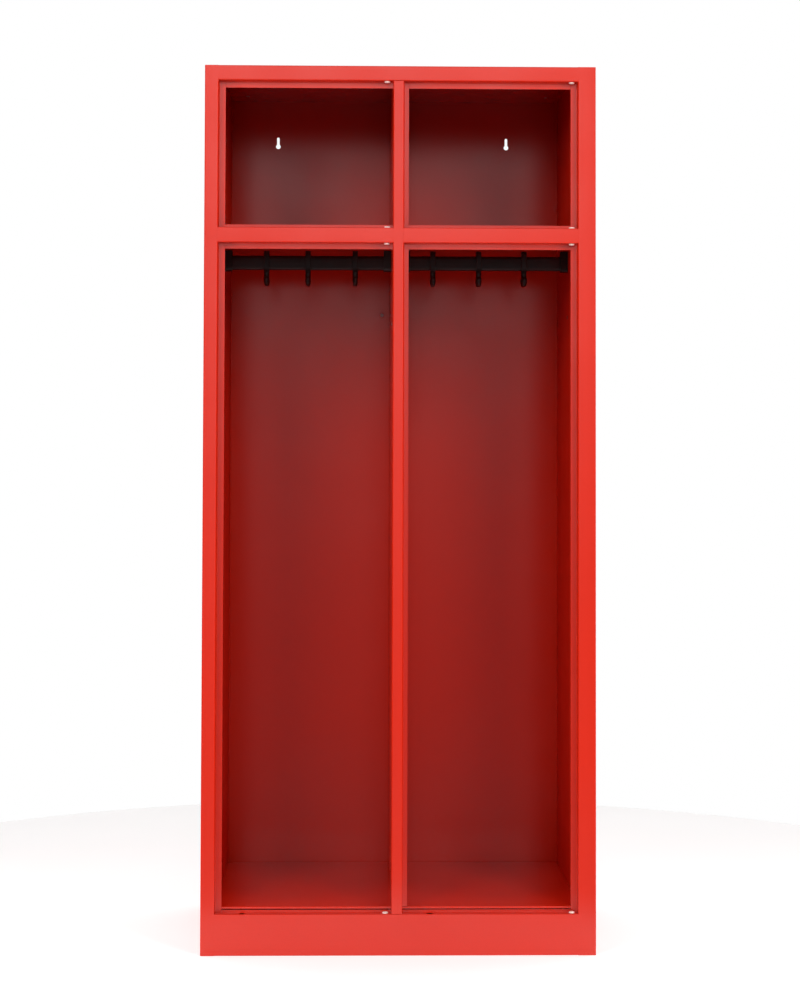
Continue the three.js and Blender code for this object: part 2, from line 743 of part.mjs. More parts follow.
// The rail itself, a tube with open ends held between the two plates.
function coatRail(bay) {
  const setIn = BRACKET_PLATE + 3 * GAP;
  const shape = stadium(THREE.Shape, RAIL_CENTRE, RAIL_HEIGHT, RAIL_THICKNESS / 2);
  const bore = stadium(
    THREE.Path,
    RAIL_CENTRE,
    RAIL_HEIGHT - 2 * RAIL_WALL,
    RAIL_THICKNESS / 2 - RAIL_WALL,
  );
  shape.holes.push(bore);
  const tube = extrudeAcross(shape, bay.walls[0] + setIn, bay.walls[1] - setIn);
  return piece(`coat_rail_${bay.name}`, tube, blackCoat);
}

// ---------------------------------------------------------------- hooks

// One hook at x: a ring round the rail, a stem, and an arm to the front and one to the back.
function coatHook(name, x) {
  const from = x - HOOK_WIDTH / 2;
  const to = x + HOOK_WIDTH / 2;
  const innerRadius = RAIL_THICKNESS / 2 + HOOK_CLEARANCE;
  const outerRadius = innerRadius + HOOK_WALL;
  const innerHeight = RAIL_HEIGHT + 2 * HOOK_CLEARANCE;
  const ringBottom = RAIL_CENTRE - innerHeight / 2 - HOOK_WALL;
  const ring = stadium(
    THREE.Shape,
    (ringBottom + HOOK_TOP) / 2,
    HOOK_TOP - ringBottom,
    outerRadius,
  );
  ring.holes.push(stadium(THREE.Path, RAIL_CENTRE, innerHeight, innerRadius));
  let hook = extrudeAcross(ring, from, to);

  const outerCurve = HOOK_THROAT + HOOK_ARM;
  const curveHeight = HOOK_BOTTOM + outerCurve;
  const stem = [[from, -HOOK_ARM / 2, curveHeight - HOOK_ARM], [to, HOOK_ARM / 2, ringBottom + 1]];
  hook = hook.add(box(...stem));

  const reach = HOOK_THROAT + HOOK_ARM / 2;
  for (const way of [-1, 1]) {
    const middle = way * reach;
    const arm = new THREE.Shape();
    arm.absarc(middle, curveHeight, outerCurve, Math.PI, 2 * Math.PI, false);
    arm.absarc(middle, curveHeight, HOOK_THROAT, 2 * Math.PI, Math.PI, true);
    arm.closePath();
    hook = hook.add(extrudeAcross(arm, from, to));
    const tip = new THREE.SphereGeometry(HOOK_TIP_RADIUS, ARC_STEPS, ARC_STEPS / 2 + 1);
    tip.translate(x, way * (2 * reach), curveHeight + HOOK_TIP_RADIUS / 2);
    hook = hook.add(solid(tip));
  }
  return piece(name, hook, blackPlastic);
}

// ---------------------------------------------------------------- assembly

const locker = new THREE.Group();
locker.add(sidePanel("left", leftSidePath), sidePanel("right", rightSidePath));
locker.add(sideLiner("left", linerPath(LEFT_LINER)));
locker.add(sideLiner("right", mirrored(linerPath(-RIGHT_LINER))));
locker.add(partitionLeft(), partitionRight());
locker.add(topPanel(), backPanel(), floorPanel(), plinthPanel());
locker.add(...baseChannels(), cornerClip());
for (const bay of BAYS) {
  locker.add(midRail(bay), shelf(bay), coatRail(bay));
  bay.hooks.forEach((fromLeft, i) => {
    locker.add(coatHook(`hook_${bay.name}_${i + 1}`, LEFT + fromLeft));
  });
}
locker.add(...brackets().map(railBracket));
locker.add(...bracketScrews().map(bracketScrew));
locker.add(...bushes());
for (const { name, at } of backRivets) {
  locker.add(piece(name, rivet(at, Y_AXIS, BACK_GRIP + RIVET_TAIL), zincSteel));
}
for (const { name, at, axis } of ceilingRivets) {
  locker.add(piece(name, rivet(at, axis, SHEET), zincSteel));
}
for (const { name, at, axis } of wallRivets) {
  locker.add(piece(name, rivet(at, axis, SHEET + RIVET_TAIL), zincSteel));
}

export default locker;
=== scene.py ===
"""School locker: the finished look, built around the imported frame.

Metres, +Z up, front towards -Y, in the frame's own axes.
"""

import json
import math

import bmesh
import bpy
from mathutils import Matrix, Vector

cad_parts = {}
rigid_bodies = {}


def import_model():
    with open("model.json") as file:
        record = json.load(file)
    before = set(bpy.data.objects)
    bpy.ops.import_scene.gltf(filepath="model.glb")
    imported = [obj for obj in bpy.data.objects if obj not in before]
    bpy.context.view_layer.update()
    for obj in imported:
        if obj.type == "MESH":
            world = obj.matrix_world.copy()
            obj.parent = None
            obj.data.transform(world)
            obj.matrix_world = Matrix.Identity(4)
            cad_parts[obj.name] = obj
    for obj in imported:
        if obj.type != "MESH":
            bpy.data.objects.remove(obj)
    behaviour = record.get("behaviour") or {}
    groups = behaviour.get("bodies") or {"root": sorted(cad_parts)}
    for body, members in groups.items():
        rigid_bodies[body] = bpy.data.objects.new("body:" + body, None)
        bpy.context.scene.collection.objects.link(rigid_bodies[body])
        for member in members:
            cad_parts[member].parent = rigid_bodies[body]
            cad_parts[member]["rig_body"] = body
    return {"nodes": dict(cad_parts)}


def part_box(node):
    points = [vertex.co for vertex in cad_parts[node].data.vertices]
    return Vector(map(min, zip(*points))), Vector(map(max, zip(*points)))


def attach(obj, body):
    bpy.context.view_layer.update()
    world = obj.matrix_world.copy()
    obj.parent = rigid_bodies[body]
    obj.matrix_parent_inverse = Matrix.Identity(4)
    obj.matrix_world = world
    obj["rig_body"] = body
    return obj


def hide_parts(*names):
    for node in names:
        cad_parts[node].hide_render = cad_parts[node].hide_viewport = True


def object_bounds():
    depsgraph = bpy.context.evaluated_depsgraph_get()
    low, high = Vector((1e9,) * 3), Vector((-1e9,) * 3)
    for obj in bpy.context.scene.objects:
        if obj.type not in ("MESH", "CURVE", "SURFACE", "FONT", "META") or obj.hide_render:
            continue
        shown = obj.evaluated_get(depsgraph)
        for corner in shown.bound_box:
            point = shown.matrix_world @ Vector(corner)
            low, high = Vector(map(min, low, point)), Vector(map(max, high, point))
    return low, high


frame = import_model()
cad_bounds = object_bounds()

MM = 0.001
X = Vector((1, 0, 0))
Y = Vector((0, 1, 0))
Z = Vector((0, 0, 1))


# ---------------------------------------------------------------- materials


def linear(red, green, blue):
    """A colour given in display values from 0 to 255, as the shader wants it."""
    shares = [value / 255 for value in (red, green, blue)]
    return [s / 12.92 if s <= 0.04045 else ((s + 0.055) / 1.055) ** 2.4 for s in shares] + [1]


class Finish:
    """A procedural material, with helpers for the nodes that vary its colour, gloss and relief."""

    def __init__(self, name, **sockets):
        self.material = bpy.data.materials.new(name)
        self.material.use_nodes = True
        self.tree = self.material.node_tree
        self.shader = self.tree.nodes["Principled BSDF"]
        for socket, value in sockets.items():
            self.shader.inputs[socket.replace("_", " ")].default_value = value
        self.place = self.tree.nodes.new("ShaderNodeTexCoord").outputs["Object"]

    def link(self, output, socket):
        self.tree.links.new(output, socket)

    def stretched(self, along):
        """The place on the piece, squeezed so that a texture is drawn out along some axes."""
        node = self.tree.nodes.new("ShaderNodeMapping")
        node.inputs["Scale"].default_value = along
        self.link(self.place, node.inputs["Vector"])
        return node.outputs["Vector"]

    def noise(self, size, detail=2.0, place=None):
        """Soft blotches about `size` metres across, from 0 to 1."""
        node = self.tree.nodes.new("ShaderNodeTexNoise")
        node.inputs["Scale"].default_value = 1 / size
        node.inputs["Detail"].default_value = detail
        self.link(place or self.place, node.inputs["Vector"])
        return node.outputs["Fac"]

    def spread(self, value, low, high, start=0.3, end=0.7):
        """A 0 to 1 value turned into one between low and high."""
        node = self.tree.nodes.new("ShaderNodeMapRange")
        node.inputs["From Min"].default_value = start
        node.inputs["From Max"].default_value = end
        node.inputs["To Min"].default_value = low
        node.inputs["To Max"].default_value = high
        self.link(value, node.inputs["Value"])
        return node.outputs["Result"]

    def blend(self, amount, first, second):
        """One colour where amount is 0 and the other where it is 1."""
        node = self.tree.nodes.new("ShaderNodeMix")
        node.data_type = "RGBA"
        self.link(amount, node.inputs["Factor"])
        for socket, colour in (("A", first), ("B", second)):
            target = next(i for i in node.inputs if i.name == socket and i.type == "RGBA")
            if hasattr(colour, "default_value"):
                self.link(colour, target)
            else:
                target.default_value = colour
        return next(o for o in node.outputs if o.type == "RGBA")

    def relief(self, height, depth, strength=1.0, under=None):
        """A bump of `depth` metres, over another one where `under` is given."""
        node = self.tree.nodes.new("ShaderNodeBump")
        node.inputs["Distance"].default_value = depth
        node.inputs["Strength"].default_value = strength
        self.link(height, node.inputs["Height"])
        if under:
            self.link(under, node.inputs["Normal"])
        return node.outputs["Normal"]

    def done(self, colour, roughness, normal):
        self.link(colour, self.shader.inputs["Base Color"])
        self.link(roughness, self.shader.inputs["Roughness"])
        self.link(normal, self.shader.inputs["Normal"])
        return self.material


def red_powder_coat(name, ior, glossiest, dullest):
    """Semi-gloss polyester powder on sheet steel: orange peel, faint clouds and a little dust."""
    finish = Finish(name, IOR=ior)
    clouds = finish.spread(finish.noise(0.35, 3), 0, 1)
    flecks = finish.spread(finish.noise(0.0012, 2), 0, 1, 0.55, 0.75)
    base = finish.blend(clouds, linear(199, 34, 12), linear(195, 32, 11))
    colour = finish.blend(flecks, base, linear(186, 30, 10))
    roughness = finish.spread(finish.noise(0.09, 4), glossiest, dullest)
    peel = finish.relief(finish.noise(0.0022, 1.5), 0.00003, 0.5)
    pull = finish.relief(finish.noise(0.16, 1.0), 0.001, 0.4, under=peel)
    return finish.done(colour, roughness, pull)


def black_rail_coat():
    """Satin black powder on the rail, fine and slightly grainy, rubbed along its length."""
    finish = Finish("black_rail_coat", IOR=1.5)
    rub = finish.spread(finish.noise(0.004, 3, finish.stretched((0.06, 1, 1))), 0, 1)
    colour = finish.blend(rub, linear(20, 20, 21), linear(30, 30, 32))
    roughness = finish.spread(finish.noise(0.006, 3), 0.36, 0.48)
    grain = finish.relief(finish.noise(0.0009, 2), 0.00005, 0.5)
    return finish.done(colour, roughness, grain)


def black_plastic():
    """Moulded nylon, nearly black, with the faint eroded texture of its mould."""
    finish = Finish("black_plastic", IOR=1.47)
    tone = finish.spread(finish.noise(0.012, 3), 0, 1)
    colour = finish.blend(tone, linear(17, 17, 18), linear(25, 25, 26))
    roughness = finish.spread(finish.noise(0.005, 2), 0.30, 0.42)
    texture = finish.relief(finish.noise(0.0006, 2), 0.00003, 0.6)
    return finish.done(colour, roughness, texture)


def pale_bush_plastic():
    """Natural acetal, slightly translucent, greyed where the tool left it matt. Its pink tint is
    painted light, standing in for the red light the coat bounces onto it.
    """
    finish = Finish("pale_bush_plastic", IOR=1.48, Subsurface_Weight=0.15, Subsurface_Scale=0.002)
    tone = finish.spread(finish.noise(0.006, 3), 0, 1)
    # Both colours carry a painted pink tint of light bounced from the red coat, over the pale
    # acetal.
    colour = finish.blend(tone, linear(246, 222, 214), linear(236, 204, 196))
    roughness = finish.spread(finish.noise(0.003, 2), 0.38, 0.5)
    texture = finish.relief(finish.noise(0.0008, 2), 0.00003, 0.5)
    return finish.done(colour, roughness, texture)


def zinc_fastener():
    """Bright zinc plate, streaked by the tumbling barrel and dulled in patches."""
    finish = Finish("zinc_fastener", Metallic=1.0)
    patches = finish.spread(finish.noise(0.003, 4), 0, 1)
    colour = finish.blend(patches, linear(196, 197, 198), linear(164, 166, 170))
    roughness = finish.spread(finish.noise(0.0015, 3), 0.28, 0.46)
    scratches = finish.relief(finish.noise(0.0007, 3, finish.stretched((1, 1, 4))), 0.00002, 0.6)
    return finish.done(colour, roughness, scratches)


def pale_floor(name, glow):
    """Pale and plain. The glow is faint light from below, like a light table's."""
    finish = Finish(name, IOR=1.4, Emission_Color=(1, 1, 1, 1), Emission_Strength=glow)
    tone = finish.spread(finish.noise(0.5, 3), 0, 1)
    colour = finish.blend(tone, linear(247, 247, 247), linear(243, 243, 242))
    roughness = finish.spread(finish.noise(0.2, 2), 0.6, 0.7)
    texture = finish.relief(finish.noise(0.004, 2), 0.0001, 0.3)
    return finish.done(colour, roughness, texture)


COAT_IOR = 1.5
COAT_IOR_INSIDE = 1.38
GLOSSY = {"glossiest": 0.19, "dullest": 0.24}
DULL = {"glossiest": 0.46, "dullest": 0.54}
RED = red_powder_coat("red_powder_coat", COAT_IOR, **GLOSSY)
# Inside, the refraction index and gloss are set to give the weaker sheen seen there.
RED_BACK = red_powder_coat("red_powder_coat_back", COAT_IOR_INSIDE, **GLOSSY)
RED_INSIDE = red_powder_coat("red_powder_coat_inside", COAT_IOR_INSIDE, **DULL)
BLACK_COAT = black_rail_coat()
BLACK_PLASTIC = black_plastic()
PALE_PLASTIC = pale_bush_plastic()
ZINC = zinc_fastener()
FLOOR_FINISH = pale_floor("pale_floor", glow=0.3)
SHADED_FLOOR_FINISH = pale_floor("pale_floor_shaded", glow=0.0)

COATS = {
    "back_panel": RED_BACK,
    "side_liner_left": RED_INSIDE,
    "side_liner_right": RED_INSIDE,
    "partition_right_skin": RED_INSIDE,
}


# ---------------------------------------------------------------- mesh helpers


def centre_of(node):
    low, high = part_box(node)
    return (low + high) / 2


def size_of(node):
    low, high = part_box(node)
    return high - low


def body_of(node):
    return frame["nodes"][node]["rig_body"]


def shown(name, mesh, material, node):
    """Puts a mesh in the scene in place of a CAD node, with the given finish in its one slot."""
    made = bpy.data.objects.new(name, mesh)
    bpy.context.scene.collection.objects.link(made)
    mesh.materials.clear()
    mesh.materials.append(material)
    mesh.polygons.foreach_set("use_smooth", [True] * len(mesh.polygons))
    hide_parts(node)
    return made


SHARP_FOLD = 38  # degrees, the least that counts as a sharp edge


def softened(piece, width, segments=2):
    """Rounds a piece's sharp edges and keeps its flat faces flat in the light."""
    bevel = piece.modifiers.new("edges", "BEVEL")
    bevel.width = width
    bevel.segments = segments
    bevel.limit_method = "ANGLE"
    bevel.angle_limit = math.radians(SHARP_FOLD)
    bevel.use_clamp_overlap = True
    normals = piece.modifiers.new("normals", "WEIGHTED_NORMAL")
    normals.keep_sharp = True


def mesh_from(bm, name):
    bmesh.ops.recalc_face_normals(bm, faces=bm.faces)
    mesh = bpy.data.meshes.new(name)
    bm.to_mesh(mesh)
    bm.free()
    return mesh


def joined_rings(bm, rings, closed=False):
    """Quads between rings of points. An open run is capped at both ends."""
    made = [[bm.verts.new(point) for point in ring] for ring in rings]
    pairs = list(zip(made, made[1:]))
    if closed:
        pairs.append((made[-1], made[0]))
    for one, other in pairs:
        for i in range(len(one)):
            j = (i + 1) % len(one)
            bm.faces.new((one[i], one[j], other[j], other[i]))
    if not closed:
        bm.faces.new(made[0])
        bm.faces.new(list(reversed(made[-1])))


def lathe(name, profile, at, axis, steps=40):
    """A closed profile of (radius, height) points in millimetres, turned about `axis` at `at`."""
    bm = bmesh.new()
    turn = Z.rotation_difference(axis).to_matrix()
    rings = []
    for i in range(steps):
        angle = 2 * math.pi * i / steps
        spoke = Vector((math.cos(angle), math.sin(angle), 0))
        rings.append([at + turn @ ((spoke * r + Z * h) * MM) for r, h in profile])
    joined_rings(bm, rings, closed=True)
    bmesh.ops.remove_doubles(bm, verts=bm.verts, dist=1e-7)
    axis_lines = [edge for edge in bm.edges if not edge.link_faces]
    bmesh.ops.delete(bm, geom=axis_lines, context="EDGES")
    return mesh_from(bm, name)


def arc(centre, radius, start, end, steps):
    """Points of (u, v) round a centre, from one angle to another, in degrees."""
    points = []
    for i in range(steps + 1):
        angle = math.radians(start + (end - start) * i / steps)
        u = centre[0] + radius * math.cos(angle)
        v = centre[1] + radius * math.sin(angle)
        points.append((u, v))
    return points


def stadium(middle, height, radius, steps=20):
    """An upright oval of (y, z) points: two half circles joined by straight sides."""
    straight = height / 2 - radius
    upper = arc((0, middle + straight), radius, 0, 180, steps)
    lower = arc((0, middle - straight), radius, 180, 360, steps)
    return upper + lower


# ---------------------------------------------------------------- sheet steel

SHEET_EDGE = 0.28 * MM  # how far the powder rounds a cut edge
FLAT_ENOUGH = 1  # degrees, under which two facets of a sheet count as one
AT_THE_END = 0.01 * MM

# How far the ends of a cross member run into the folds of the stiles and the post that they are
# welded to. At the full depth of the gap and the fold, nothing of the joint shows.
WELDED_OVER = {
    "top_panel": 2.3 * MM,
    "mid_rail_left": 1.7 * MM,
    "mid_rail_right": 1.7 * MM,
    "plinth_panel": 1.7 * MM,
}


def butt_ends():
    """Where cross members end, and which way is outwards there."""
    ends = []
    for side in ("left", "right"):
        low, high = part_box(f"mid_rail_{side}")
        ends += [(low.x, -1), (high.x, 1)]
    return ends


def close_welds(bm, overrun):
    """Moves the ends of a cross member outwards."""
    ends = butt_ends()
    for vertex in bm.verts:
        for end, way in ends:
            if abs(vertex.co.x - end) < AT_THE_END:
                vertex.co.x = end + way * overrun


def coated_sheet(node):
    """A folded CAD sheet with its cut edges rounded by the coating and its folds shaded round."""
    mesh = frame["nodes"][node].data.copy()
    bm = bmesh.new()
    bm.from_mesh(mesh)
    bmesh.ops.remove_doubles(bm, verts=bm.verts, dist=1e-6)
    if node in WELDED_OVER:
        close_welds(bm, WELDED_OVER[node])
    flat = math.radians(FLAT_ENOUGH)
    bmesh.ops.dissolve_limit(bm, angle_limit=flat, verts=bm.verts, edges=bm.edges)
    bm.to_mesh(mesh)
    bm.free()
    piece = shown(f"{node}_sheet", mesh, COATS.get(node, RED), node)
    softened(piece, SHEET_EDGE)
    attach(piece, body_of(node))


SHEETS = [
    "side_panel_left", "side_panel_right", "side_liner_left", "side_liner_right",
    "partition_left_skin", "partition_right_skin", "top_panel", "back_panel", "floor_panel",
    "plinth_panel", "base_channel_left", "base_channel_centre", "base_channel_right",
    "corner_clip", "mid_rail_left", "mid_rail_right", "shelf_left", "shelf_right",
]
for sheet in SHEETS:
    coated_sheet(sheet)


# ---------------------------------------------------------------- coat rails

RAIL_WALL = 1.5 * MM
RAIL_EDGE = 0.3 * MM
RAIL_STEPS = 24  # facets in each half circle


def coat_rail(node):
    """An oval tube with open ends."""
    low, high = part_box(node)
    size = high - low
    middle = (low.z + high.z) / 2
    outer = stadium(middle, size.z, size.y / 2, RAIL_STEPS)
    inner = stadium(middle, size.z - 2 * RAIL_WALL, size.y / 2 - RAIL_WALL, RAIL_STEPS)
    bm = bmesh.new()
    rings = []
    for x, oval in ((low.x, outer), (high.x, outer), (high.x, inner), (low.x, inner)):
        rings.append([Vector((x, y, z)) for y, z in oval])
    joined_rings(bm, rings, closed=True)
    piece = shown(f"{node}_tube", mesh_from(bm, node), BLACK_COAT, node)
    softened(piece, RAIL_EDGE)
    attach(piece, body_of(node))


for side in ("left", "right"):
    coat_rail(f"coat_rail_{side}")


# ---------------------------------------------------------------- rail brackets

BRACKET_PLATE = 2.5 * MM
BRACKET_WALL = 3 * MM
BRACKET_EDGE = 0.7 * MM
BRACKET_STEPS = 28
INTO_BAY = {"left_outer": 1, "left_inner": -1, "right_inner": 1, "right_outer": -1}


def rail_bracket(place):
    """A moulded cup, open at the top, on a plate against the wall."""
    node = f"rail_bracket_{place}"
    low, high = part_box(node)
    wall, end = (low.x, high.x) if INTO_BAY[place] > 0 else (high.x, low.x)
    plate = wall + INTO_BAY[place] * BRACKET_PLATE
    outer_radius = (high.y - low.y) / 2
    inner_radius = outer_radius - BRACKET_WALL
    centre = (0, low.z + outer_radius)

    def section(radius):
        round_part = arc(centre, radius, 0, -180, BRACKET_STEPS)
        return [(radius, high.z)] + round_part + [(-radius, high.z)]

    bm = bmesh.new()

    def ring(x, radius):
        return [bm.verts.new((x, y, z)) for y, z in section(radius)]

    back = ring(wall, outer_radius)
    front = ring(end, outer_radius)
    mouth = ring(end, inner_radius)
    floor = ring(plate, inner_radius)
    bm.faces.new(back)
    bm.faces.new(floor)
    for one, other in ((back, front), (front, mouth), (mouth, floor)):
        for i in range(len(one) - 1):
            bm.faces.new((one[i], one[i + 1], other[i + 1], other[i]))
    rim = [back[0], front[0], mouth[0], floor[0], floor[-1], mouth[-1], front[-1], back[-1]]
    bm.faces.new(rim)
    piece = shown(f"{node}_cup", mesh_from(bm, node), BLACK_PLASTIC, node)
    softened(piece, BRACKET_EDGE, segments=3)
    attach(piece, body_of(node))


# ---------------------------------------------------------------- screws and rivets

# Profiles to be turned are in millimetres.
SCREW_CROWN = 1.9  # radius of the dome on the head
SCREW_CROWN_SCALE = 1.75  # the dome is widened by the head's radius over this
SCREW_RIM = 1.6  # depth of the rim's upper edge
SCREW_HEAD = 2
SCREW_SHANK = 1.8
SCREW_TIP = 1.2
SCREW_POINT = 0.6
RECESS_WIDTH = 0.9 * MM
RECESS_LENGTH = 3.6 * MM
RECESS_DEPTH = 0.9 * MM
SCREW_EDGE = 0.12 * MM


def cross_cutter(at, axis, depth):
    """Two crossed bars that cut a cross recess into a screw head."""
    bm = bmesh.new()
    turn = Z.rotation_difference(axis).to_matrix().to_4x4()
    for long_side in (0, 1):
        size = [RECESS_WIDTH, RECESS_WIDTH, 2 * depth]
        size[long_side] = RECESS_LENGTH
        scale = Matrix.Diagonal((*size, 1))
        bmesh.ops.create_cube(bm, size=1, matrix=Matrix.Translation(at) @ turn @ scale)
    return mesh_from(bm, "cross_cutter")


def screw_profile(head, length):
    """Half of a pan-headed screw, from the middle of its crown down to its tip."""
    crown = arc((0, -SCREW_CROWN), SCREW_CROWN, 90, 25, 6)
    dome = [(r * head / SCREW_CROWN_SCALE, h) for r, h in crown]
    rim = [(head, -SCREW_RIM), (head, -SCREW_HEAD)]
    shank = [(SCREW_SHANK, -SCREW_HEAD), (SCREW_SHANK, SCREW_POINT - length)]
    tip = [(SCREW_TIP, -length), (0, -length)]
    return dome + rim + shank + tip


def cut_recess(piece, cutter_mesh):
    """Cuts the recess into the piece's mesh for good."""
    cutter = bpy.data.objects.new("cutter", cutter_mesh)
    bpy.context.scene.collection.objects.link(cutter)
    cut = piece.modifiers.new("recess", "BOOLEAN")
    cut.object = cutter
    cut.solver = "EXACT"
    cut.use_self = True
    bpy.context.view_layer.update()
    evaluated = piece.evaluated_get(bpy.context.evaluated_depsgraph_get())
    piece.data = bpy.data.meshes.new_from_object(evaluated)
    piece.modifiers.clear()
    bpy.data.objects.remove(cutter)


def bracket_screw(place):
    """A pan head with a cross recess."""
    node = f"bracket_screw_{place}"
    low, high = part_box(node)
    into = INTO_BAY[place]
    top = Vector((high.x if into > 0 else low.x, *centre_of(node).yz))
    profile = screw_profile(size_of(node).y / 2 / MM, size_of(node).x / MM)
    mesh = lathe(node, profile, top, into * X)
    piece = shown(f"{node}_pan", mesh, ZINC, node)
    cut_recess(piece, cross_cutter(top, into * X, RECESS_DEPTH))
    softened(piece, SCREW_EDGE)
    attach(piece, body_of(node))


RIVET_HEAD = 1.6
RIVET_SHANK = 1.9
RIVET_TIP = 1.3
RIVET_POINT = 0.5
RIVET_EDGE = 0.08 * MM
MANDREL = 1.05
MANDREL_DEPTH = 0.95  # of its middle, below the top of the head
MANDREL_FLAT = 0.9
MANDREL_RIM = 1.0
MANDREL_HOLE_TOP = 0.12
HEADS_POINT = {
    "back_rivet": Y,
    "ceiling_rivet": -Z,
    "partition_rivet": -X,
    "side_wall_rivet": -X,
    "back_wall_rivet": -Y,
}


def rivet_profile(radius, length):
    """Half of a blind rivet, from the middle of its mandrel out and down to its closed end."""
    dome = []
    for r, h in arc((0, 0), 1, 82, 0, 8)[1:]:
        dome.append((radius * r, RIVET_HEAD * (h - 1)))
    mandrel = [(0, -MANDREL_DEPTH), (MANDREL * 0.6, -MANDREL_FLAT), (MANDREL * 0.85, -MANDREL_RIM)]
    hole = [(MANDREL, -MANDREL_HOLE_TOP)]
    shank = [(RIVET_SHANK, -RIVET_HEAD), (RIVET_SHANK, RIVET_POINT - length)]
    tip = [(RIVET_TIP, -length), (0, -length)]
    return mandrel + hole + dome + shank + tip


def rivet(node):
    """A domed blind rivet with its snapped mandrel sunk in the head."""
    axis = next(axis for start, axis in HEADS_POINT.items() if node.startswith(start))
    low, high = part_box(node)
    along = max(range(3), key=lambda i: abs(axis[i]))
    size = high - low
    radius = (sum(size) - size[along]) / 4 / MM
    length = size[along] / MM
    top = centre_of(node)
    top[along] = high[along] if axis[along] > 0 else low[along]
    mesh = lathe(node, rivet_profile(radius, length), top, axis, steps=32)
    piece = shown(f"{node}_head", mesh, ZINC, node)
    softened(piece, RIVET_EDGE)
    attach(piece, body_of(node))


for place in INTO_BAY:
    rail_bracket(place)
    bracket_screw(place)
for node in sorted(frame["nodes"]):
    if any(node.startswith(start) for start in HEADS_POINT):
        rivet(node)


# ---------------------------------------------------------------- door pivot bushes

BUSH_FLANGE = 2.7
BUSH_SHOULDER = 1
BUSH_SHANK = 4.0
BUSH_BORE = 2.5
BORE_CHAMFER = (0.5, 0.7)  # out and down
SHANK_CHAMFER = (0.4, 0.5)  # in and up
BUSH_EDGE = 0.15 * MM


def bush_profile(radius, length):
    """Half of a bush, from the top of its bore round the outside to the bottom of its bore."""
    out, down = BORE_CHAMFER
    inwards, up = SHANK_CHAMFER
    bore_top = [(BUSH_BORE, -down), (BUSH_BORE + out, 0)]
    shoulder = arc((radius - BUSH_SHOULDER, -BUSH_SHOULDER), BUSH_SHOULDER, 90, 0, 6)
    flange = [(radius, -BUSH_FLANGE), (BUSH_SHANK, -BUSH_FLANGE)]
    shank = [(BUSH_SHANK, up - length), (BUSH_SHANK - inwards, -length)]
    return bore_top + shoulder + flange + shank + [(BUSH_BORE, -length)]


def bush(node):
    """A flanged bush with a round shoulder, a countersunk bore and a chamfered shank."""
    low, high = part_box(node)
    points_up = node.endswith(("above_rail", "ledge"))
    axis = Z if points_up else -Z
    top = centre_of(node)
    top.z = high.z if points_up else low.z
    profile = bush_profile(size_of(node).x / 2 / MM, size_of(node).z / MM)
    mesh = lathe(node, profile, top, axis, steps=48)
    piece = shown(f"{node}_turned", mesh, PALE_PLASTIC, node)
    softened(piece, BUSH_EDGE)
    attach(piece, body_of(node))


for node in sorted(frame["nodes"]):
    if node.startswith("bush_"):
        bush(node)


# ---------------------------------------------------------------- hooks

RING_WALL = 3.2 * MM
RING_CLEARANCE = 0.8 * MM
THROAT = 7 * MM
ARM_DEPTH = 6 * MM
TIP_RADIUS = 5 * MM
TIP_WIDTH = 0.98  # of the hook's
STEM_OVERLAP = 1.5 * MM  # how far the stem runs up into the ring
STEM_STEPS = 8
BEND_STEPS = 24
BAR_STEPS = 20  # facets round the bar
NARROWING = 0.24  # of the bar's width, at its narrowest
NARROWS_FROM = 0.35  # as a share of the way along the bar
HOOK_VOXEL = 0.7 * MM


def hook_ring(bm, low, high, half_width):
    """The band that wraps the rail, with a thick crown over it."""
    rail = size_of("coat_rail_left")
    inner_radius = rail.y / 2 + RING_CLEARANCE
    inner = stadium(centre_of("coat_rail_left").z, rail.z + 2 * RING_CLEARANCE, inner_radius)
    outer = stadium((low + high) / 2, high - low, inner_radius + RING_WALL)
    rings = []
    for way, oval in ((-1, outer), (1, outer), (1, inner), (-1, inner)):
        rings.append([Vector((way * half_width, y, z)) for y, z in oval])
    joined_rings(bm, rings, closed=True)


def arm_path(way, bend, top, reach):
    """Points down the stem and round the bend, each with its inward side and its share so far."""
    path = []
    for i in range(STEM_STEPS + 1):
        share = i / STEM_STEPS
        z = top + (bend - top) * share
        path.append((Vector((0, 0, z)), Vector((0, way, 0)), share / 2))
    centre = Vector((0, way * reach, bend))
    for i in range(1, BEND_STEPS + 1):
        share = i / BEND_STEPS
        angle = math.pi + math.pi * share
        spoke = Vector((0, way * math.cos(angle), math.sin(angle)))
        path.append((centre + spoke * reach, -spoke, 0.5 + share / 2))
    return path


def bar_width(share):
    """The bar's width at a share of its length, as a share of the hook's width."""
    along = (share - NARROWS_FROM) / (1 - NARROWS_FROM)
    return 1 - NARROWING * math.sin(math.pi * min(1, max(0, along)))


def hook_arm(bm, way, bottom, top, half_width):
    """The stem and one arm: a flattened bar that narrows round the bend and swells at the tip."""
    reach = THROAT + ARM_DEPTH / 2
    bend = bottom + THROAT + ARM_DEPTH
    deep = ARM_DEPTH / 2
    rings = []
    for at, inward, share in arm_path(way, bend, top, reach):
        wide = half_width * bar_width(share)
        ring = []
        for k in range(BAR_STEPS):
            turn = 2 * math.pi * k / BAR_STEPS
            ring.append(at + X * (wide * math.cos(turn)) + inward * (deep * math.sin(turn)))
        rings.append(ring)
    joined_rings(bm, rings)
    tip = Matrix.Translation((0, way * 2 * reach, bend + TIP_RADIUS / 2))
    shape = Matrix.Diagonal((half_width * TIP_WIDTH, TIP_RADIUS, TIP_RADIUS, 1))
    bmesh.ops.create_uvsphere(bm, u_segments=28, v_segments=18, radius=1, matrix=tip @ shape)


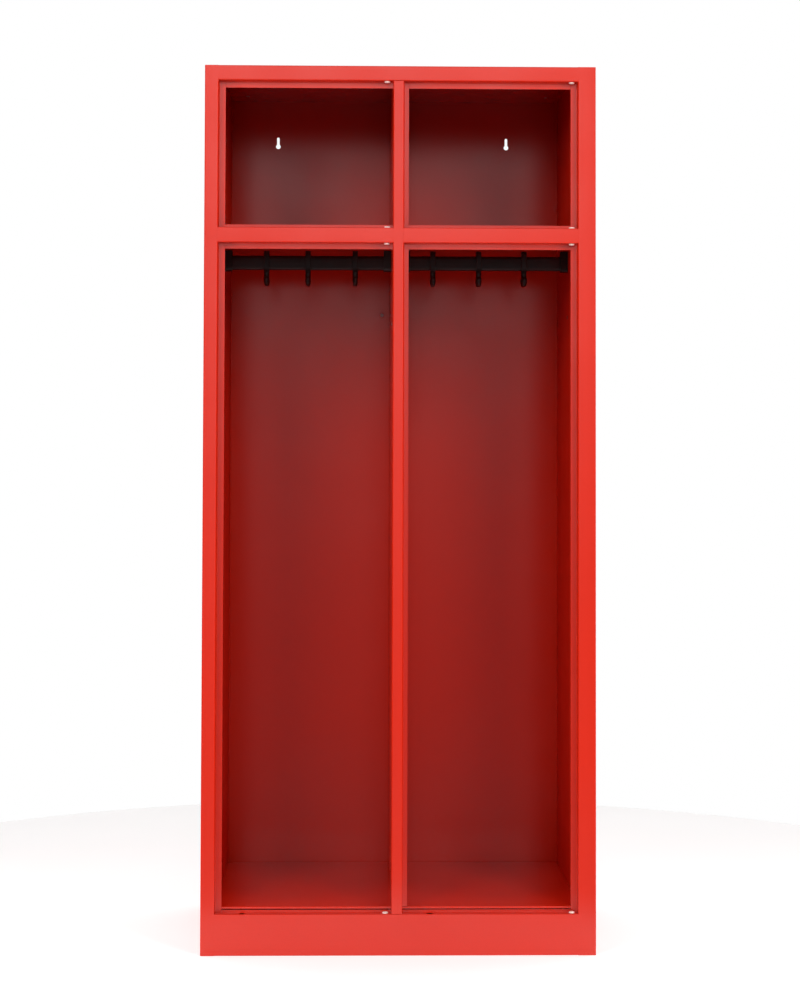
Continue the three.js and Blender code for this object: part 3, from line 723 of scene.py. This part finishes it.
def hook_mesh(node):
    """The whole moulding, melted together so that its parts meet in small fillets."""
    low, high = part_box(node)
    half_width = (high.x - low.x) / 2
    ring_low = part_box("coat_rail_left")[0].z - RING_CLEARANCE - RING_WALL
    bm = bmesh.new()
    hook_ring(bm, ring_low, high.z, half_width)
    for way in (-1, 1):
        hook_arm(bm, way, low.z, ring_low + STEM_OVERLAP, half_width)
    rough = bpy.data.objects.new("rough_hook", mesh_from(bm, "rough_hook"))
    bpy.context.scene.collection.objects.link(rough)
    remesh = rough.modifiers.new("melt", "REMESH")
    remesh.mode = "VOXEL"
    remesh.voxel_size = HOOK_VOXEL
    smooth = rough.modifiers.new("smooth", "SMOOTH")
    smooth.factor = 0.5
    smooth.iterations = 5
    bpy.context.view_layer.update()
    evaluated = rough.evaluated_get(bpy.context.evaluated_depsgraph_get())
    mesh = bpy.data.meshes.new_from_object(evaluated)
    mesh.name = "moulded_hook"
    bpy.data.objects.remove(rough)
    return mesh


def coat_hooks():
    nodes = sorted(n for n in frame["nodes"] if n.startswith("hook_"))
    pattern = hook_mesh(nodes[0])
    for node in nodes:
        mesh = pattern.copy()
        mesh.transform(Matrix.Translation((centre_of(node).x, 0, 0)))
        piece = shown(f"{node}_moulding", mesh, BLACK_PLASTIC, node)
        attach(piece, body_of(node))


coat_hooks()


# ---------------------------------------------------------------- floor, light and camera

FLOOR_RADIUS = 1.7
SHEEN_RADIUS = 0.8  # beyond it the floor is left out of reflections, to match the sheen
FLOOR_SEGMENTS = 96
FLOOR_LEVEL = -0.3 * MM  # just clear of the locker
SHADE_LEVEL = -0.1 * MM
SHADE_INSET = 4 * MM  # how far the shaded patch stops inside the locker's outline


def floor_piece(name, bm, level=FLOOR_LEVEL, finish=FLOOR_FINISH):
    floor = bpy.data.objects.new(name, mesh_from(bm, name))
    floor.location.z = level
    floor.data.materials.append(finish)
    bpy.context.scene.collection.objects.link(floor)
    return floor


def studio_floor():
    """A disc under the locker, and a ring around it."""
    bm = bmesh.new()
    bmesh.ops.create_circle(bm, cap_ends=True, segments=FLOOR_SEGMENTS, radius=SHEEN_RADIUS)
    floor_piece("floor_disc", bm)
    bm = bmesh.new()
    for radius in (SHEEN_RADIUS, FLOOR_RADIUS):
        bmesh.ops.create_circle(bm, segments=FLOOR_SEGMENTS, radius=radius)
    bmesh.ops.bridge_loops(bm, edges=bm.edges)
    floor_piece("floor_ring", bm).visible_glossy = False


def shaded_floor():
    """A patch without the glow, under the locker.

    It shows through the holes in the ledge and the slit between the ledge's stop and the floor.
    """
    (left, front, _), (right, back, _) = cad_bounds
    left, front = left + SHADE_INSET, front + SHADE_INSET
    right, back = right - SHADE_INSET, back - SHADE_INSET
    bm = bmesh.new()
    corners = ((left, front), (right, front), (right, back), (left, back))
    bm.faces.new([bm.verts.new((x, y, 0)) for x, y in corners])
    floor_piece("floor_under_locker", bm, SHADE_LEVEL, SHADED_FLOOR_FINISH)


BACKDROP = 1.0  # white, behind the locker and wherever the camera looks past it
# A tall bank of light ahead of the open front, brighter towards its top. Its edges are given as
# the sideways and upward parts of a direction of length 1.
BANK_BOTTOM_LEVEL = 0.3
BANK_TOP_LEVEL = 2.4
BANK_HALF_WIDTH = 0.13
BANK_RISES = (-0.12, 0.20)
BANK_FADES = (0.35, 0.95)
BANK_SOFTNESS = 0.04  # either side of its upright edges
BACKDROP_STARTS = (0.0, 0.2)  # the backwards part of a direction


def set_input(tree, socket, value):
    """Feeds a socket from another node's output, or sets it to a plain number."""
    if hasattr(value, "default_value"):
        tree.links.new(value, socket)
    else:
        socket.default_value = value


def maths(tree, operation, *values):
    node = tree.nodes.new("ShaderNodeMath")
    node.operation = operation
    for socket, value in zip(node.inputs, values):
        set_input(tree, socket, value)
    return node.outputs["Value"]


def step(tree, value, start, end, low=0.0, high=1.0):
    """Goes smoothly from low to high as the value goes from start to end."""
    node = tree.nodes.new("ShaderNodeMapRange")
    node.interpolation_type = "SMOOTHSTEP"
    node.inputs["From Min"].default_value = start
    node.inputs["From Max"].default_value = end
    set_input(tree, node.inputs["To Min"], low)
    set_input(tree, node.inputs["To Max"], high)
    tree.links.new(value, node.inputs["Value"])
    return node.outputs["Result"]


def bank_of_light(tree, direction):
    """How bright the bank is in a direction, and 0 outside it."""
    sideways = maths(tree, "ABSOLUTE", direction.outputs["X"])
    up = direction.outputs["Z"]
    outer_edge = BANK_HALF_WIDTH + BANK_SOFTNESS
    inner_edge = BANK_HALF_WIDTH - BANK_SOFTNESS
    across = step(tree, sideways, outer_edge, inner_edge)
    rising = step(tree, up, *BANK_RISES, BANK_BOTTOM_LEVEL, BANK_TOP_LEVEL)
    fading = step(tree, up, *BANK_FADES, 1.0, 0.0)
    return maths(tree, "MULTIPLY", across, maths(tree, "MULTIPLY", rising, fading))


def studio_world():
    """A white backdrop. Ahead of the open front the room is dark, apart from a bank of light."""
    world = bpy.data.worlds.new("studio")
    bpy.context.scene.world = world
    world.use_nodes = True
    tree = world.node_tree
    background = tree.nodes["Background"]
    background.inputs["Color"].default_value = (1, 1, 1, 1)
    direction = tree.nodes.new("ShaderNodeSeparateXYZ")
    tree.links.new(tree.nodes.new("ShaderNodeTexCoord").outputs["Generated"], direction.inputs[0])
    ahead = bank_of_light(tree, direction)
    lit = step(tree, direction.outputs["Y"], *BACKDROP_STARTS, ahead, BACKDROP)
    seen = tree.nodes.new("ShaderNodeLightPath").outputs["Is Camera Ray"]
    level = step(tree, seen, 0.0, 1.0, lit, BACKDROP)
    tree.links.new(level, background.inputs["Strength"])


def softbox(name, at, towards, width, height, watts):
    light = bpy.data.lights.new(name, "AREA")
    light.shape = "RECTANGLE"
    light.size = width
    light.size_y = height
    light.energy = watts
    lamp = bpy.data.objects.new(name, light)
    lamp.location = at
    lamp.rotation_euler = (Vector(towards) - Vector(at)).to_track_quat("-Z", "Y").to_euler()
    lamp.visible_camera = False
    lamp.visible_glossy = False
    bpy.context.scene.collection.objects.link(lamp)


# Pairs of softboxes, one on each side: how far across, ahead and up, and how strong.
SIDE_LIGHTS = {
    "low": (2.3, 1.3, 0.8, 39),
    "near": (1.2, 2.0, 2.4, 27),
}
SIDE_LIGHTS_FACE = (0, -0.1, 0.9)
SIDE_LIGHT_SIZE = (0.7, 1.1)
LEFT_SHARE = 0.88  # how strong the left ones are beside the right ones

# One more above, a little ahead, facing the floor in front of the locker.
TOP_LIGHT_AT = (0, -1.5, 3.0)
TOP_LIGHT_FACES = (0, -1.0, 0)
TOP_LIGHT_SIZE = (1.6, 1.0)
TOP_LIGHT_WATTS = 4


def softboxes():
    for name, (across, ahead, up, watts) in SIDE_LIGHTS.items():
        for side, way, share in (("left", -1, LEFT_SHARE), ("right", 1, 1)):
            at = (way * across, -ahead, up)
            lamp = f"softbox_{name}_{side}"
            softbox(lamp, at, SIDE_LIGHTS_FACE, *SIDE_LIGHT_SIZE, watts * share)
    softbox("softbox_above", TOP_LIGHT_AT, TOP_LIGHT_FACES, *TOP_LIGHT_SIZE, TOP_LIGHT_WATTS)


CAMERA_AT = Vector((-0.0934, -4.7839, 1.0710))
CAMERA_YAW = 1.181  # degrees to the right
CAMERA_PITCH = 1.973  # degrees up
CAMERA_ROLL = 0.153  # degrees
CAMERA_LENS = 78.25
CAMERA_SHIFT = -0.1373
CAMERA_REACH = 50


def photo_camera():
    yaw, pitch, roll = (math.radians(a) for a in (CAMERA_YAW, CAMERA_PITCH, CAMERA_ROLL))
    forwards = Vector((math.sin(yaw), math.cos(yaw), 0))
    ahead = forwards * math.cos(pitch) + Z * math.sin(pitch)
    level = Vector((math.cos(yaw), -math.sin(yaw), 0))
    upright = level.cross(ahead)
    right = level * math.cos(roll) + upright * math.sin(roll)
    up = upright * math.cos(roll) - level * math.sin(roll)
    camera = bpy.data.objects.new("camera", bpy.data.cameras.new("camera"))
    bpy.context.scene.collection.objects.link(camera)
    turn = Matrix((right, up, -ahead)).transposed().to_4x4()
    camera.matrix_world = Matrix.Translation(CAMERA_AT) @ turn
    camera.data.lens = CAMERA_LENS
    camera.data.shift_y = CAMERA_SHIFT
    camera.data.clip_end = CAMERA_REACH
    bpy.context.scene.camera = camera


studio_floor()
shaded_floor()
studio_world()
softboxes()
photo_camera()
bpy.context.scene.view_settings.view_transform = "Standard"
